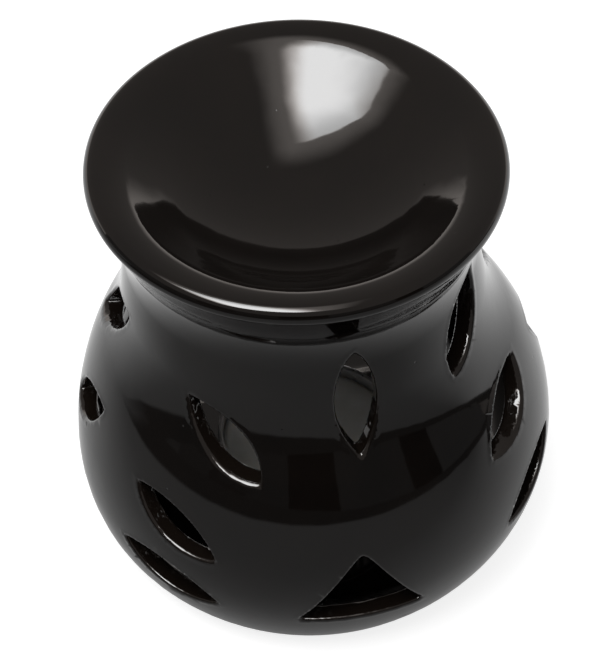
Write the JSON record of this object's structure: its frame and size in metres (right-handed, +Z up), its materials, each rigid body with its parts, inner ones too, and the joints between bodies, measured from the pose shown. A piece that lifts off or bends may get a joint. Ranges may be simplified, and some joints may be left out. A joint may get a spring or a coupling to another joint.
{
  "type": "essential oil burner",
  "caption": "Glazed ceramic oil burner: a round pierced body whose neck flares into a shallow dish, with a tea light that slides in through an arch behind.",
  "frame": {"origin": "middle of the foot's flat underside, on the surface that the burner stands on", "axes": "+Z up; the front with the cut flower and the triangular vent faces -Y; the tea light slides out along +Y"},
  "size_m": [0.1, 0.0961, 0.101],
  "materials": {
    "black_glaze": "thick high-gloss black glaze, pooled soft at every cut edge; the foot's underside is bare",
    "aluminium_foil": "thin drawn foil, satin, faint vertical draw marks",
    "paraffin_wax": "white paraffin wax, faintly translucent, sunk a little round the wick",
    "tin_plate": "plain tin plate",
    "cotton": "waxed braided cotton"
  },
  "bodies": {
    "burner": {"burner_body": "black_glaze"},
    "tea_light": {"candle_cup": "aluminium_foil", "candle_wax": "paraffin_wax", "wick_tab": "tin_plate", "candle_wick": "cotton"}
  },
  "joints": [
    {"name": "tea_light_slide", "type": "slide", "parent": "burner", "child": "tea_light", "axis": [0, 1, 0], "range_m": [0, 0.1]}
  ]
}
